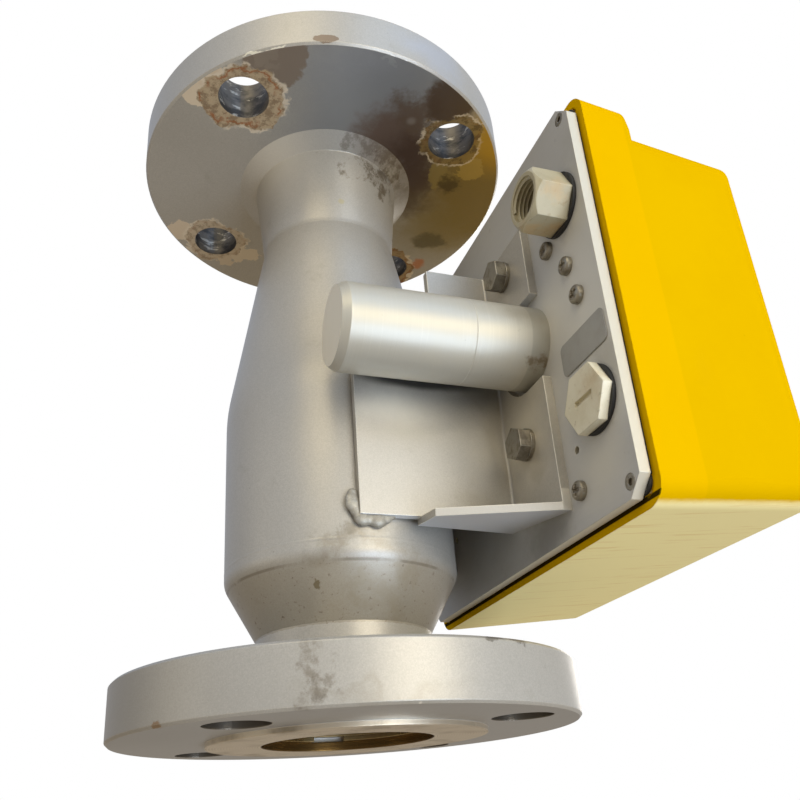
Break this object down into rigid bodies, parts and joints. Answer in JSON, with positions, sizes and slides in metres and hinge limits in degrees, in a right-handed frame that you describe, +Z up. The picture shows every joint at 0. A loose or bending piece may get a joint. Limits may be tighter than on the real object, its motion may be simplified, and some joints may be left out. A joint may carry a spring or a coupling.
{
  "type": "variable area flow meter",
  "caption": "Metal tube flow meter: flanged tube with a sliding float, and a yellow indicator box on brackets with a pointer that follows the float.",
  "frame": {"origin": "centre of the lower flange's sealing face, on the flow axis", "axes": "+Z up along the flow axis from the inlet to the outlet; -Y out of the dial's face; +X to the right of a person who reads the dial"},
  "size_m": [0.1862, 0.1927, 0.25],
  "materials": {
    "body_paint": "silver-grey metallic paint",
    "bracket_paint": "silver-grey metallic paint",
    "guide_steel": "stainless, turned",
    "float_steel": "stainless, turned",
    "magnet": "sintered magnet",
    "plate_aluminium": "satin grey, milled edges",
    "housing_aluminium": "satin, turned",
    "fastener": "zinc-plated, dull",
    "cover_paint": "glossy yellow paint",
    "rubber": "black, matt",
    "glass": "clear flat glass",
    "frame_steel": "pressed sheet",
    "dial_white": "white enamel",
    "pointer_black": "black anodised",
    "inner_aluminium": "bright",
    "brass": "turned",
    "entry_plastic": "off-white, moulded",
    "terminal_plastic": "grey, moulded",
    "label_foil": "matt foil, bare"
  },
  "bodies": {
    "meter": {"lower_flange": "body_paint", "upper_flange": "body_paint", "lower_reducer": "body_paint", "measuring_body": "body_paint", "measuring_cone": "guide_steel", "lower_guide": "guide_steel", "upper_guide": "guide_steel", "lower_circlip": "guide_steel", "upper_circlip": "guide_steel", "guide_rod": "guide_steel", "lower_stop": "guide_steel", "upper_stop": "guide_steel", "near_bracket": "bracket_paint", "far_bracket": "bracket_paint", "bracket_bolts": "fastener", "spring_washers": "fastener", "bracket_nuts": "fastener", "back_plate": "plate_aluminium", "plate_seal": "rubber", "cover": "cover_paint", "cover_screws": "fastener", "window_seal": "rubber", "window_glass": "glass", "window_frame": "frame_steel", "frame_screws": "fastener", "dial_plate": "dial_white", "dial_posts": "inner_aluminium", "dial_screws": "fastener", "damping_magnet": "magnet", "rear_bearing": "brass", "front_bearing": "brass", "housing_base": "housing_aluminium", "housing_cap": "housing_aluminium", "housing_nut": "housing_aluminium", "cable_entry": "entry_plastic", "entry_seal": "rubber", "entry_nut": "entry_plastic", "entry_plug": "entry_plastic", "plug_seal": "rubber", "plug_nut": "entry_plastic", "rear_screws": "fastener", "rear_label": "label_foil", "terminal_block": "terminal_plastic", "terminal_screws": "brass", "earth_clamp": "brass", "cable_clip": "terminal_plastic"},
    "float": {"float_body": "float_steel", "float_magnet": "magnet", "float_plug": "float_steel"},
    "follower": {"pointer": "pointer_black", "follower_shaft": "guide_steel", "magnet_holder": "inner_aluminium", "follower_magnet": "magnet", "counterweight": "brass", "damping_disc": "inner_aluminium"}
  },
  "joints": [
    {"name": "float_slide", "type": "slide", "parent": "meter", "child": "float", "axis": [0, 0, 1], "range_m": [0, 0.06]},
    {"name": "follower_spin", "type": "hinge", "parent": "meter", "child": "follower", "pos_m": [-0.06355, 0, 0.1183], "axis": [0, -1, 0], "range_deg": [0, 70]}
  ],
  "couplings": [
    {"joint": "follower_spin", "follows": "float_slide", "rad_per_m": 20.35}
  ]
}
